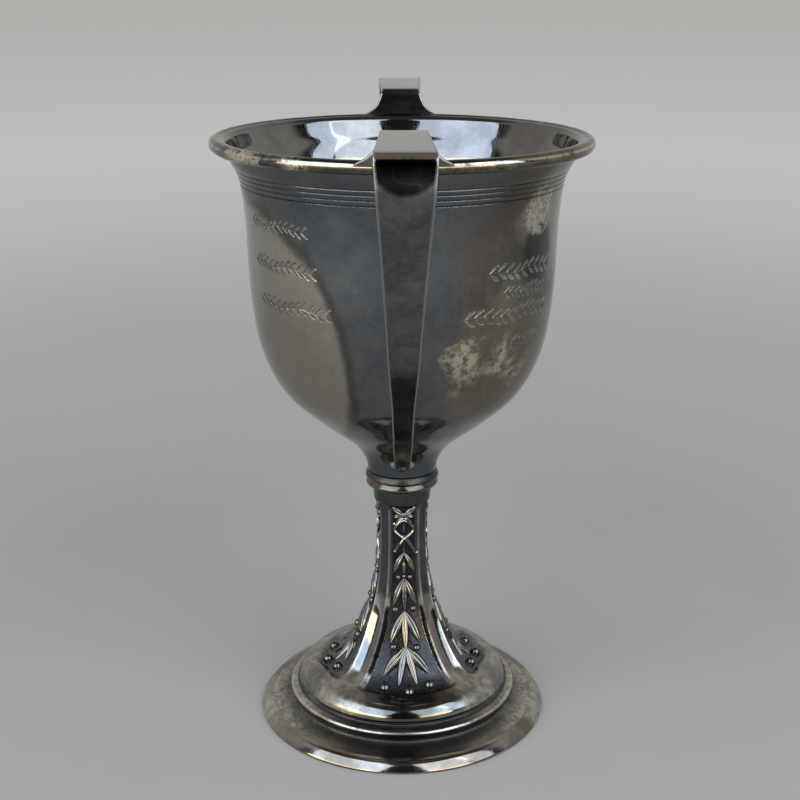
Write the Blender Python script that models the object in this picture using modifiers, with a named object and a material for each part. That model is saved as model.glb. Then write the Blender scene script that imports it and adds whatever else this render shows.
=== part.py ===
"""Two-handled cup trophy: a spun bowl on a fluted pedestal foot, with flat strap handles.

Run with: blender --background --python part.py
Metres, +Z up. The origin is the middle of the circle that the cup stands on. The handles lie
along the Y axis: handle_front towards -Y, handle_back towards +Y.

Every piece is its own object, as it would come off the bench before soldering, and pieces
that are soldered together keep GAP between their faces.
"""

import math

import bmesh
import bpy
from mathutils import Vector

MM = 0.001
GAP = 0.3 * MM

# Driving dimensions
RIM_RADIUS = 60.0 * MM  # outside of the rim wire
RIM_HEIGHT = 197.9 * MM  # top of the rim wire
RIM_WIRE_RADIUS = 2.05 * MM
NECK_RADIUS = 11.4 * MM  # foot of the bowl, where it meets the collar
BOWL_WALL = 1.2 * MM
COLLAR_RADIUS = 12.25 * MM
COLLAR_BOTTOM = 81.7 * MM
COLLAR_TOP = 87.2 * MM
SEAM_HEIGHT = 59.0 * MM  # level joint between the two lengths of the stem
DOME_RADIUS = 35.5 * MM
DOME_BOTTOM = 11.2 * MM
FOOT_RADIUS = 49.2 * MM
FOOT_WIRE_HEIGHT = 3.8 * MM
FOOT_WIRE_WIDTH = 4.0 * MM
STEM_WALL = 1.1 * MM
SPIGOT_RADIUS = 6.0 * MM
SPIGOT_BOTTOM = 72.0 * MM
HANDLE_TOP = 206.4 * MM
HANDLE_REACH = 105.6 * MM  # axis to the outer face of the strap
STRAP = 2.2 * MM  # thickness of the strap
LANDING_RADIUS = 44.2 * MM  # where the sloping strap comes closest to the bowl's belly
LANDING_HEIGHT = 120.5 * MM

# The stem's four recessed panels, and the flutes between them. Angles are from a panel's middle.
# Towards its foot a panel spreads, and the ridges beside it move apart.
PANEL_COUNT = 4
PANEL_TURN = math.radians(4.0)  # the stem is soldered a little out of line with the handles
GROUND_EDGE = math.radians(26.0)  # edge of a panel's flat ground
CREST = math.radians(33.0)  # the ridge beside a panel
PANEL_DEPTH = 0.85 * MM
FLUTE_DEPTH = 0.45 * MM
PANEL_TOP = 76.8 * MM
PANEL_BOTTOM = 16.8 * MM
SPREAD_HEIGHT = 34.0 * MM  # the panels spread below this height
GROUND_SPREAD = math.radians(7.0)
CREST_SPREAD = math.radians(4.0)

# Facets: all turned pieces share one count, so that the gaps between them stay even.
TURN_STEPS = 48
SPAN_STEPS = 2  # straight pieces between two neighbouring points of a smooth outline


def clear_scene():
    for obj in list(bpy.data.objects):
        bpy.data.objects.remove(obj)


def new_collection(name):
    collection = bpy.data.collections.new(name)
    bpy.context.scene.collection.children.link(collection)
    return collection


def metal(name, color, roughness, metallic=1.0):
    material = bpy.data.materials.new(name)
    material.use_nodes = True
    shader = material.node_tree.nodes["Principled BSDF"]
    shader.inputs["Base Color"].default_value = (*color, 1.0)
    shader.inputs["Roughness"].default_value = roughness
    shader.inputs["Metallic"].default_value = metallic
    material.diffuse_color = (*color, 1.0)
    return material


def add_object(name, mesh, material, collection):
    obj = bpy.data.objects.new(name, mesh)
    collection.objects.link(obj)
    mesh.materials.append(material)
    mesh.shade_smooth()
    mesh.set_sharp_from_angle(angle=math.radians(35))
    return obj


def smooth_path(points, steps=SPAN_STEPS):
    """A Catmull-Rom curve through (radius, height) points, with steps pieces to a span."""
    path = []
    last = len(points) - 1
    for i in range(last):
        before, start, end, after = (Vector(points[max(0, min(last, i + k))]) for k in (-1, 0, 1, 2))
        for step in range(steps):
            t = step / steps
            bend = (end - before) * t + (2 * before - 5 * start + 4 * end - after) * t**2
            bend += (3 * start - before - 3 * end + after) * t**3
            path.append(start + bend / 2)
    path.append(Vector(points[last]))
    return path


def arc(center, radius, start, end, steps):
    """Points on a circle from the angle start to the angle end, in degrees."""
    angles = [math.radians(start + (end - start) * i / steps) for i in range(steps + 1)]
    return [Vector((center[0] + radius * math.cos(a), center[1] + radius * math.sin(a))) for a in angles]


def side_of(path, i):
    """Unit vector square to the path at point i, on the right of its direction of travel."""
    along = (path[min(i + 1, len(path) - 1)] - path[max(i - 1, 0)]).normalized()
    return Vector((along.y, -along.x))


def offset_path(path, distance):
    """The path moved sideways, to the right of its direction of travel."""
    return [point + side_of(path, i) * distance for i, point in enumerate(path)]


def turned(name, profile, material, collection, closed=False):
    """A solid turned round Z from a profile of (radius, height) that runs down its outer side."""
    mesh = bpy.data.meshes.new(name)
    points = [(point[0], 0.0, point[1]) for point in profile]
    edges = [(i, i + 1) for i in range(len(points) - 1)]
    if closed:
        edges.append((len(points) - 1, 0))
    mesh.from_pydata(points, edges, [])
    obj = add_object(name, mesh, material, collection)
    screw = obj.modifiers.new("turn", "SCREW")
    screw.axis = "Z"
    screw.steps = TURN_STEPS
    screw.render_steps = TURN_STEPS
    screw.use_merge_vertices = True
    screw.merge_threshold = 0.00005
    screw.use_smooth_shade = True
    return obj


def lofted(name, rings, material, collection, wrap):
    """A closed skin through rings of equal length. With wrap the last ring joins the first,
    otherwise the two end rings are capped."""
    bm = bmesh.new()
    rows = [[bm.verts.new(point) for point in ring] for ring in rings]
    count = len(rings[0])
    pairs = list(zip(rows, rows[1:]))
    if wrap:
        pairs.append((rows[-1], rows[0]))
    for low, high in pairs:
        for i in range(count):
            j = (i + 1) % count
            bm.faces.new((low[i], low[j], high[j], high[i]))
    if not wrap:
        bm.faces.new(rows[0][::-1])
        bm.faces.new(rows[-1])
    bmesh.ops.recalc_face_normals(bm, faces=bm.faces[:])
    mesh = bpy.data.meshes.new(name)
    bm.to_mesh(mesh)
    bm.free()
    return add_object(name, mesh, material, collection)


# Outlines shared by neighbouring pieces


def bowl_outline():
    """The bowl's outer side from the neck up to the lip."""
    shape = [
        (NECK_RADIUS, COLLAR_TOP + GAP),
        (12.7 * MM, 92.2 * MM),
        (17.2 * MM, 98.0 * MM),
        (28.6 * MM, 107.0 * MM),
        (39.0 * MM, 117.0 * MM),
        (45.7 * MM, 131.0 * MM),
        (48.6 * MM, 150.0 * MM),
        (49.5 * MM, 172.0 * MM),
        (51.1 * MM, 185.0 * MM),
        (54.0 * MM, 191.2 * MM),
        (RIM_RADIUS - 2 * RIM_WIRE_RADIUS - GAP, 195.8 * MM),
    ]
    return smooth_path(shape)


def stem_outline():
    """The stem's crests from the bottom of the dome up to the collar."""
    shape = [
        (DOME_RADIUS, DOME_BOTTOM),
        (35.1 * MM, 12.7 * MM),
        (34.1 * MM, 14.2 * MM),
        (32.3 * MM, 15.6 * MM),
        (29.0 * MM, PANEL_BOTTOM),
        (25.7 * MM, 17.9 * MM),
        (22.4 * MM, 20.5 * MM),
        (19.6 * MM, 24.0 * MM),
        (17.2 * MM, 28.0 * MM),
        (15.2 * MM, 32.0 * MM),
        (13.1 * MM, 37.0 * MM),
        (11.4 * MM, 43.0 * MM),
        (10.0 * MM, 50.0 * MM),
        (9.3 * MM, SEAM_HEIGHT),
        (9.1 * MM, 67.0 * MM),
        (9.2 * MM, 74.0 * MM),
        (9.5 * MM, PANEL_TOP),
        (9.9 * MM, COLLAR_BOTTOM - GAP),
    ]
    return smooth_path(shape, steps=1)


# Stem: crests, panels and flutes


def stem_section(height):
    """(angle, depth under the crests) round the stem at a height, for all panels."""
    quarter = math.pi / PANEL_COUNT
    spread = min(1.0, max(0.0, (SPREAD_HEIGHT - height) / (SPREAD_HEIGHT - PANEL_BOTTOM)))
    ground = GROUND_EDGE + GROUND_SPREAD * spread
    crest = CREST + CREST_SPREAD * spread
    half = [(0.0, PANEL_DEPTH), (ground / 2, PANEL_DEPTH), (ground, PANEL_DEPTH), (crest, 0.0)]
    half.append(((crest + quarter) / 2, 0.75 * FLUTE_DEPTH))
    around = [(-angle, depth) for angle, depth in half[:0:-1]] + half + [(quarter, FLUTE_DEPTH)]
    return [(panel * 2 * quarter + angle, depth) for panel in range(PANEL_COUNT) for angle, depth in around]


def stem_ring(radius, height, relief):
    """One level of the stem. relief is 1 where the panels are at their full depth."""
    ring = []
    for angle, depth in stem_section(height):
        reach = radius - relief * depth
        turn = angle + PANEL_TURN
        ring.append(Vector((reach * math.sin(turn), -reach * math.cos(turn), height)))
    return ring


def stem_length(name, outline, flat_below, flat_above, material, collection):
    """One hollow length of the stem. Its panels run out at the heights flat_below and flat_above."""
    outer = []
    for radius, height in outline:
        relief = 1.0 if flat_below < height < flat_above else 0.0
        outer.append(stem_ring(radius, height, relief))
    wall = PANEL_DEPTH + STEM_WALL
    inner = [stem_ring(point[0], point[1], 0.0) for point in offset_path(outline, wall * -1)]
    for ring, end in ((inner[0], outline[0]), (inner[-1], outline[-1])):
        for point in ring:
            point.z = end[1]
    return lofted(name, outer + inner[::-1], material, collection, wrap=True)


def build_stem(material, collection):
    outline = stem_outline()
    lower = [point for point in outline if point.y < SEAM_HEIGHT - GAP]
    upper = [point for point in outline if point.y > SEAM_HEIGHT + GAP]
    seam_radius = 9.3 * MM
    lower.append(Vector((seam_radius, SEAM_HEIGHT - GAP / 2)))
    upper.insert(0, Vector((seam_radius, SEAM_HEIGHT + GAP / 2)))
    stem_length("pedestal", lower, PANEL_BOTTOM + 0.1 * MM, SEAM_HEIGHT, material, collection)
    stem_length("stem_sleeve", upper, SEAM_HEIGHT, PANEL_TOP - 0.1 * MM, material, collection)


# Bowl and its rim


def build_bowl(material, collection):
    outer = bowl_outline()
    well = 91.0 * MM  # lowest point of the inside
    wall = [point for point in offset_path(outer, -BOWL_WALL) if point.y > well + 3 * MM]
    inner = [Vector((0.0, well)), Vector((0.55 * wall[0].x, well + 0.4 * MM))] + wall
    inner[-1].y = outer[-1].y
    base = [Vector((0.0, outer[0].y))]
    turned("bowl", inner + outer[::-1] + base, material, collection)


def build_rim_wire(material, collection):
    center = (RIM_RADIUS - RIM_WIRE_RADIUS, RIM_HEIGHT - RIM_WIRE_RADIUS)
    circle = arc(center, RIM_WIRE_RADIUS, 90, -270, 12)[:-1]
    turned("rim_wire", circle, material, collection, closed=True)


# Collar and the spigot inside it


def build_collar(material, collection):
    tier_bottom = COLLAR_TOP - 2.3 * MM
    bead_radius = (tier_bottom - COLLAR_BOTTOM) / 2
    bead_middle = COLLAR_RADIUS - 0.25 * MM - bead_radius
    bead = arc((bead_middle, COLLAR_BOTTOM + bead_radius), bead_radius, 75, -80, 8)
    bore = SPIGOT_RADIUS + GAP
    profile = [
        Vector((bore, COLLAR_TOP)),
        Vector((COLLAR_RADIUS - 0.9 * MM, COLLAR_TOP)),
        Vector((COLLAR_RADIUS - 0.35 * MM, COLLAR_TOP - 0.8 * MM)),
        Vector((COLLAR_RADIUS, tier_bottom + 0.7 * MM)),
        Vector((COLLAR_RADIUS, tier_bottom + 0.3 * MM)),
        Vector((COLLAR_RADIUS - 0.5 * MM, tier_bottom)),
        *bead,
        Vector((bore, COLLAR_BOTTOM)),
    ]
    turned("collar", profile, material, collection, closed=True)


def build_spigot(material, collection):
    chamfer = 0.8 * MM
    profile = [
        (0.0, COLLAR_TOP),
        (SPIGOT_RADIUS - chamfer / 2, COLLAR_TOP),
        (SPIGOT_RADIUS, COLLAR_TOP - chamfer / 2),
        (SPIGOT_RADIUS, SPIGOT_BOTTOM + chamfer),
        (SPIGOT_RADIUS - chamfer, SPIGOT_BOTTOM),
        (0.0, SPIGOT_BOTTOM),
    ]
    turned("stem_spigot", profile, material, collection)


# Foot


def build_foot_wire(material, collection):
    inside = FOOT_RADIUS - FOOT_WIRE_WIDTH
    top = Vector((inside, FOOT_WIRE_HEIGHT))
    side = [
        Vector((inside + 1.65 * MM, FOOT_WIRE_HEIGHT - 0.3 * MM)),
        Vector((inside + 2.7 * MM, FOOT_WIRE_HEIGHT - 1.15 * MM)),
        Vector((inside + 3.5 * MM, FOOT_WIRE_HEIGHT - 2.2 * MM)),
        Vector((FOOT_RADIUS, 0.7 * MM)),
        Vector((FOOT_RADIUS - 0.15 * MM, 0.2 * MM)),
        Vector((FOOT_RADIUS - 0.6 * MM, 0.0)),
    ]
    turned("foot_wire", [top, *side, Vector((inside, 0.0))], material, collection, closed=True)


def build_foot_plate(material, collection):
    edge = FOOT_RADIUS - FOOT_WIRE_WIDTH - GAP
    sheet = 1.3 * MM
    seat = DOME_BOTTOM - GAP
    top = [
        Vector((DOME_RADIUS - 3.2 * MM, seat)),
        Vector((DOME_RADIUS - 0.2 * MM, seat)),
        Vector((DOME_RADIUS + 0.6 * MM, seat - 1.1 * MM)),
        Vector((DOME_RADIUS + 2.4 * MM, seat - 1.7 * MM)),
        Vector((DOME_RADIUS + 3.3 * MM, seat - 2.3 * MM)),
        Vector((DOME_RADIUS + 3.0 * MM, seat - 3.5 * MM)),
        Vector((DOME_RADIUS + 2.6 * MM, 5.6 * MM)),
        Vector((DOME_RADIUS + 4.0 * MM, 4.7 * MM)),
        Vector((DOME_RADIUS + 6.6 * MM, 4.0 * MM)),
        Vector((edge, 3.7 * MM)),
    ]
    under = [
        Vector((edge, 3.7 * MM - sheet)),
        Vector((DOME_RADIUS + 4.0 * MM, 4.5 * MM - sheet)),
        Vector((DOME_RADIUS + 1.0 * MM, 5.6 * MM)),
        Vector((DOME_RADIUS + 0.8 * MM, seat - 3.0 * MM)),
        Vector((DOME_RADIUS - 3.2 * MM, seat - sheet - 0.6 * MM)),
    ]
    turned("foot_plate", top + under, material, collection, closed=True)


# Handles


def handle_path():
    """Middle line of the strap as (radius, height): up from the rim, out, and down to the neck."""
    riser = RIM_RADIUS - 1.0 * MM
    top = HANDLE_TOP - STRAP / 2
    outer = HANDLE_REACH - STRAP / 2
    rim_bend = 2.0 * MM
    corner_bend = 2.6 * MM
    shoulder_bend = 8.0 * MM
    path = [Vector((riser, RIM_HEIGHT + GAP)), Vector((riser, RIM_HEIGHT + 2.6 * MM))]
    path += arc((riser + rim_bend, top - rim_bend), rim_bend, 180, 90, 4)
    path.append(Vector((0.5 * (riser + outer), top)))
    path += arc((outer - corner_bend, top - corner_bend), corner_bend, 90, 0, 5)
    path += arc((outer - shoulder_bend, top - 7.0 * MM), shoulder_bend, 0, -38.5, 3)
    shoulder = path[-1]
    landing = Vector((LANDING_RADIUS, LANDING_HEIGHT))
    path += [shoulder.lerp(landing, share) for share in (0.5, 0.95)]
    below = [landing, (34.8 * MM, 108.5 * MM), (22.6 * MM, 98.4 * MM)]
    below.append((NECK_RADIUS + 3.4 * MM, COLLAR_TOP + 5.6 * MM))
    return path + smooth_path(below, steps=3)


def strap_half_width(point, on_riser):
    """Half the strap's width at a point of its middle line."""
    if on_riser:
        above_rim = point.y - (RIM_HEIGHT - 0.9 * MM)
        return 6.4 * MM + 7.4 * MM * math.exp(-above_rim / (2.8 * MM))
    if point.y > HANDLE_TOP - STRAP:
        share = (point.x - RIM_RADIUS) / (HANDLE_REACH - RIM_RADIUS)
        return (6.5 + 1.5 * share) * MM
    if point.y > LANDING_HEIGHT:
        share = (HANDLE_TOP - point.y) / (HANDLE_TOP - LANDING_HEIGHT)
        return (8.0 - 4.6 * share) * MM
    share = (LANDING_HEIGHT - point.y) / (LANDING_HEIGHT - COLLAR_TOP)
    return (3.4 - 0.9 * share) * MM


def strap_section(half_width):
    """(across, out of the strap's middle) points of the strap's section, which has eased edges."""
    ease = 0.5 * MM
    half = STRAP / 2
    flat = half_width - ease
    face = [-flat, -flat / 2, 0.0, flat / 2, flat]
    section = [(-half_width, half - ease)] + [(x, half) for x in face] + [(half_width, half - ease)]
    return section + [(x, -out) for x, out in section[::-1]]


def strap_ring(path, i, on_riser, follow_rim):
    """One section of the strap, in place. follow_rim bends it round the rim, from 0 to 1."""
    point = path[i]
    normal = side_of(path, i) * -1
    ring = []
    for across, out in strap_section(strap_half_width(point, on_riser)):
        radius = point.x + normal.x * out
        height = point.y + normal.y * out
        bent = math.sqrt(radius**2 - across**2)
        ring.append(Vector((across, -(radius + (bent - radius) * follow_rim), height)))
    return ring


def build_handles(material, collection):
    path = handle_path()
    riser_points = 3
    rings = []
    for i in range(len(path)):
        on_riser = i < riser_points
        follow_rim = max(0.0, 1.0 - i / riser_points)
        rings.append(strap_ring(path, i, on_riser, follow_rim))
    for point in rings[0]:
        point.z = RIM_HEIGHT + GAP
    front = lofted("handle_front", rings, material, collection, wrap=False)
    back = bpy.data.objects.new("handle_back", front.data)
    back.rotation_euler.z = math.pi
    collection.objects.link(back)


def main():
    clear_scene()
    trophy = new_collection("cup_trophy")
    silver = metal("tarnished_silver_plate", (0.20, 0.20, 0.21), 0.22)
    handle_silver = metal("handle_silver_plate", (0.23, 0.23, 0.23), 0.20)
    worn_wire = metal("worn_brass_wire", (0.34, 0.27, 0.21), 0.26)
    collar_silver = metal("collar_worn_silver", (0.42, 0.38, 0.34), 0.30)
    stem_silver = metal("oxidised_stem_silver", (0.16, 0.16, 0.17), 0.25)
    foot_silver = metal("foot_dull_silver", (0.33, 0.31, 0.28), 0.30)
    brass = metal("spigot_brass", (0.60, 0.45, 0.22), 0.35)
    build_bowl(silver, trophy)
    build_rim_wire(worn_wire, trophy)
    build_handles(handle_silver, trophy)
    build_collar(collar_silver, trophy)
    build_spigot(brass, trophy)
    build_stem(stem_silver, trophy)
    build_foot_plate(foot_silver, trophy)
    build_foot_wire(foot_silver, trophy)


main()
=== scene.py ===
"""Looks of the two-handled cup trophy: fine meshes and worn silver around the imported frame.

Metres, +Z up, handles along Y, camera on the -Y side. Outlines are (radius, height) in millimetres
and repeat the CAD part's own sizes; every mesh is scaled to metres as it is made.
"""

import math

import bpy
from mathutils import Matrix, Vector, noise


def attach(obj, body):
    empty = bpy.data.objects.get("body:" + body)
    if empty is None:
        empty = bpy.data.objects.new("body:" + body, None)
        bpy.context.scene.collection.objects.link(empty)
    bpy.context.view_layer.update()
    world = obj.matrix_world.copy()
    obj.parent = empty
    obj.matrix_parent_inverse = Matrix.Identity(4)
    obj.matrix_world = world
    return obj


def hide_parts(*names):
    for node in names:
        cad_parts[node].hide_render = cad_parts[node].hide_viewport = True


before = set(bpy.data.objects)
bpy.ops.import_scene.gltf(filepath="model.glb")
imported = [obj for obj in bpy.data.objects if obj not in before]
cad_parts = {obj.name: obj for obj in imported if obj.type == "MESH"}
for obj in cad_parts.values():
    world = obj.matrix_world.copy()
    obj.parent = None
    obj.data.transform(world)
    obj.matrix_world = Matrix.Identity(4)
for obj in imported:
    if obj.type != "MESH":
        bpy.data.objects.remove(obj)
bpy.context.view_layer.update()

MM = 0.001
TURNS = 192  # columns round a turned piece

# Shared sizes, in millimetres
RIM_RADIUS = 60.0
RIM_HEIGHT = 197.9
RIM_WIRE_RADIUS = 2.05
NECK_RADIUS = 11.4
COLLAR_BOTTOM = 81.7
COLLAR_TOP = 87.2
COLLAR_RADIUS = 12.25
SEAM_HEIGHT = 59.0
FOOT_RADIUS = 49.2
HANDLE_TOP = 206.4
HANDLE_REACH = 105.6
STRAP = 2.2  # thickness of the handles
BOWL_WALL = 1.2
STEM_WALL = 1.95
COLLAR_BORE = 6.4
GROOVES = (188.5, 186.9, 185.3, 183.7)  # engraved lines under the lip

# Stem: angles in degrees from the middle of a panel, heights and depths in millimetres
PANEL_TURN = 4.0
GROUND_EDGE = 26.0
CREST = 33.0
WORN_CREST = (32.6, CREST, 33.4)
STEM_COLUMNS = [0, 3.2, 6.6, 8.2, 12, 16, 20, 23.5, 25.6, GROUND_EDGE, 26.4, 27.2, 30]
STEM_COLUMNS += [*WORN_CREST, 36, 39, 42]
PANEL_DEPTH = 0.9
BEVEL = 1.0  # height of the slope at a panel's top
PANEL_TOP = 76.8
PANEL_BOTTOM = 16.9
SPREAD_HEIGHT = 34.0  # below this height the panels spread, by these degrees at their foot
GROUND_SPREAD = 7.0
CREST_SPREAD = 4.0


# Numbers and outlines


def clamp(value):
    return min(1.0, max(0.0, value))


def peak(value, middle, reach):
    """1 at middle, falling straight to 0 at reach from it."""
    return max(0.0, 1 - abs(value - middle) / reach)


def smooth_path(points, steps):
    """A Catmull-Rom curve through the points, with steps pieces to a span."""
    path = []
    last = len(points) - 1
    for i in range(last):
        before, start, end, after = (Vector(points[max(0, min(last, i + k))]) for k in (-1, 0, 1, 2))
        for step in range(steps):
            t = step / steps
            bend = (end - before) * t + (2 * before - 5 * start + 4 * end - after) * t**2
            bend += (3 * start - before - 3 * end + after) * t**3
            path.append(start + bend / 2)
    path.append(Vector(points[last]))
    return path


def arc(center, radius, start, end, steps):
    angles = [math.radians(start + (end - start) * i / steps) for i in range(steps + 1)]
    return [Vector((center[0] + radius * math.cos(a), center[1] + radius * math.sin(a))) for a in angles]


def side_of(path, i):
    """Unit vector square to the path at point i, on the right of its direction of travel."""
    along = (path[min(i + 1, len(path) - 1)] - path[max(i - 1, 0)]).normalized()
    return Vector((along.y, -along.x))


def offset_path(path, distance):
    return [point + side_of(path, i) * distance for i, point in enumerate(path)]


def radius_at(path, height):
    """Radius of an outline that only rises, at a height."""
    for low, high in zip(path, path[1:]):
        if low.y <= height <= high.y:
            return low.x + (high.x - low.x) * (height - low.y) / max(1e-9, high.y - low.y)
    return path[-1].x if height > path[-1].y else path[0].x


def outline_spot(path, height):
    """(radius, outward normal) of an outline that only rises, at a height."""
    step = 0.3
    slope = radius_at(path, height + step) - radius_at(path, height - step)
    return radius_at(path, height), Vector((2 * step, -slope)).normalized()


def swing(angle, out, up):
    """The point or direction (out, up) of an outline, at degrees round from the front."""
    a = math.radians(angle)
    return Vector((out * math.sin(a), -out * math.cos(a), up))


# Meshes


def mesh_object(name, points, faces, marks=None, sharp=35):
    """An object from points in millimetres. marks are float attributes for the materials."""
    mesh = bpy.data.meshes.new(name)
    mesh.from_pydata([Vector(p) * MM for p in points], [], faces)
    for key, values in (marks or {}).items():
        mesh.attributes.new(key, "FLOAT", "POINT").data.foreach_set("value", values)
    mesh.shade_smooth()
    mesh.set_sharp_from_angle(angle=math.radians(sharp))
    obj = bpy.data.objects.new(name, mesh)
    bpy.context.scene.collection.objects.link(obj)
    return obj


def grid_faces(rows, columns, wrap_rows, wrap_columns):
    faces = []
    for i in range(rows if wrap_rows else rows - 1):
        for j in range(columns if wrap_columns else columns - 1):
            low, high = i * columns, (i + 1) % rows * columns
            right = (j + 1) % columns
            faces.append((low + j, low + right, high + right, high + j))
    return faces


def add_grid(faces, start, rows, columns, wrap_columns):
    """Adds the faces of a grid whose points begin at start."""
    faces += [tuple(start + v for v in face) for face in grid_faces(rows, columns, False, wrap_columns)]


def add_ball(points, faces, center, sizes, rings, columns):
    """Adds an ellipsoid with these half widths."""
    start = len(points)
    for i in range(rings + 1):
        tilt = math.pi * i / rings
        for j in range(columns):
            a = math.tau * j / columns
            spot = Vector((math.sin(tilt) * math.cos(a), -math.sin(tilt) * math.sin(a), math.cos(tilt)))
            points.append(Vector(center) + spot * Vector(sizes))
    add_grid(faces, start, rings + 1, columns, True)


def add_strip(points, faces, mark, spots, section_at):
    """Adds a strip along (point, outward normal) spots. section_at gives the (across, lift, mark)
    of its section, in millimetres, for a share of the length."""
    count = len(spots)
    start = len(points)
    for i, (spot, normal) in enumerate(spots):
        ahead = spots[min(i + 1, count - 1)][0] - spots[max(i - 1, 0)][0]
        across = ahead.cross(normal).normalized()
        for x, z, value in section_at(i / (count - 1)):
            points.append(spot + across * x + normal * z)
            mark.append(value)
    add_grid(faces, start, count, (len(points) - start) // count, False)


def turned(name, profile, marks=None, closed=True, sharp=35, shake=None):
    """A skin turned round Z. profile runs so that its outside is on the right; marks give one
    number for each profile point; shake moves a point a little."""
    points = []
    for radius, height in profile:
        for j in range(TURNS):
            a = math.tau * j / TURNS
            point = Vector((radius * math.sin(a), -radius * math.cos(a), height))
            points.append(point + shake(point) if shake else point)
    faces = grid_faces(len(profile), TURNS, closed, True)
    spread = {key: [v for v in values for _ in range(TURNS)] for key, values in (marks or {}).items()}
    return mesh_object(name, points, faces, spread, sharp)


BOWL_SHAPE = [
    (NECK_RADIUS, COLLAR_TOP + 0.3),
    (12.7, 92.2),
    (17.2, 98.0),
    (28.6, 107.0),
    (39.0, 117.0),
    (45.7, 131.0),
    (48.6, 150.0),
    (49.5, 172.0),
    (51.1, 185.0),
    (54.0, 191.2),
    (55.6, 195.8),
]
BOWL_OUTLINE = smooth_path(BOWL_SHAPE, 8)
BOWL_LIP = [(56.1, 196.7), (56.9, 197.45), (56.3, 197.5), (55.5, 197.2), (54.8, 196.6)]
GROOVE_STEPS = ((-0.78, 0), (-0.32, 0), (0, 0.28), (0.32, 0))  # (height, depth) across a groove


def build_bowl():
    """From the middle of its underside up the outside, over the lip and down the inside."""
    under = [Vector((0.01, BOWL_OUTLINE[0].y))]
    below = [p for p in BOWL_OUTLINE if p.y <= GROOVES[-1] - 1]
    above = [p for p in BOWL_OUTLINE if p.y >= GROOVES[0] + 1]
    cut, dark = [], []
    for height in reversed(GROOVES):
        for step, depth in GROOVE_STEPS:
            cut.append(Vector((radius_at(BOWL_OUTLINE, height + step) - depth, height + step)))
            dark.append(1.0 if depth else 0.0)
    lip = [Vector(p) for p in BOWL_LIP]
    inner = [p for p in offset_path(BOWL_OUTLINE, -BOWL_WALL) if p.y > 95.0][::-1]
    inner += [Vector((share * inner[-1].x, height)) for share, height in ((0.6, 92.2), (0.3, 91.2))]
    inner.append(Vector((0.01, 91.0)))
    outer = under + below + cut + above
    marks = {
        "deep": [0.0] * len(under + below) + dark + [0.0] * len(above + lip + inner),
        "inside": [0.0] * len(outer) + [0.5] * len(lip) + [1.0] * len(inner),
    }
    return turned("cup_bowl", outer + lip + inner, marks, closed=False)


def build_rim():
    steps = 28
    center = (RIM_RADIUS - RIM_WIRE_RADIUS, RIM_HEIGHT - RIM_WIRE_RADIUS)
    circle = arc(center, RIM_WIRE_RADIUS, 0, 360, steps)[:-1]
    knock = Vector((-44, -39, 196))

    def shake(point):
        """Small waves, and a battered place round the knock."""
        size = noise.noise(point * 0.35) * 0.10 + noise.noise(point * 1.1) * 0.05
        battered = max(0.0, 1 - (point - knock).length / 24)
        size += battered * (noise.noise(point * 0.8) * 0.45 - 0.12)
        return Vector((0, 0, min(0.0, size)))

    # A painted highlight line round the wire's upper outer side, partly rubbed bare metal.
    wear_and_painted_highlight = [peak(i / steps * 360, 24, 17) for i in range(steps)]
    return turned("cup_rim_wire", circle, {"wear_and_painted_highlight": wear_and_painted_highlight}, shake=shake)


def build_collar():
    tier_bottom = COLLAR_TOP - 2.3
    bead = COLLAR_RADIUS - 0.2
    bead_side = [
        (bead - 1.9, COLLAR_BOTTOM),
        (bead - 0.7, 81.95),
        (bead - 0.1, 82.5),
        (bead, 83.1),
        (bead - 0.3, 83.8),
        (bead - 0.75, 84.5),
        (bead - 1.1, tier_bottom),
    ]
    tier_side = [
        (COLLAR_RADIUS - 0.5, tier_bottom + 0.05),
        (COLLAR_RADIUS, tier_bottom + 0.35),
        (COLLAR_RADIUS, tier_bottom + 0.7),
        (COLLAR_RADIUS - 0.35, COLLAR_TOP - 0.8),
        (COLLAR_RADIUS - 0.7, COLLAR_TOP - 0.15),
        (COLLAR_RADIUS - 0.9, COLLAR_TOP),
        (COLLAR_BORE, COLLAR_TOP),
    ]
    profile = [Vector((COLLAR_BORE, COLLAR_BOTTOM)), *smooth_path(bead_side, 4)]
    profile += [Vector(p) for p in tier_side]
    dark = [0.6 if tier_bottom < p.y < COLLAR_TOP else 0.0 for p in profile]
    return turned("stem_collar", profile, {"deep": dark}, sharp=40)


def build_foot_plate():
    top = [(45.5, 3.74), (42.1, 4.0), (39.5, 4.7), (38.3, 5.6), (38.5, 7.2), (38.9, 8.2), (38.6, 8.75)]
    top += [(37.9, 9.2), (36.6, 9.6), (35.9, 10.1), (35.6, 10.9), (32.4, 10.9)]
    top = smooth_path(top, 4)
    under = [Vector(p) for p in ((32.4, 9.2), (36.3, 7.6), (36.6, 5.6), (39.4, 3.2), (44.9, 2.4))]
    # The step's edge is rubbed; the seam under the dome is dark, and the cove under the step is painted dark
    # as shade, fading out over the flange.
    wear_and_sheen = [peak(p.y, 8.7, 0.5) if p.x > 38.3 else 0.0 for p in top]
    seam = [peak(p.x, 36.2, 0.9) if p.y > 9 else 0.0 for p in top]
    cove = [0.8 * peak(p.x, 38.4, 5.5) if p.y < 7.6 else 0.0 for p in top]
    plain = [0.0] * len(under)
    marks = {"wear_and_sheen": wear_and_sheen + plain, "deep": [max(pair) for pair in zip(seam, cove)] + plain}
    return turned("foot_flange", top + under, marks)


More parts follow.
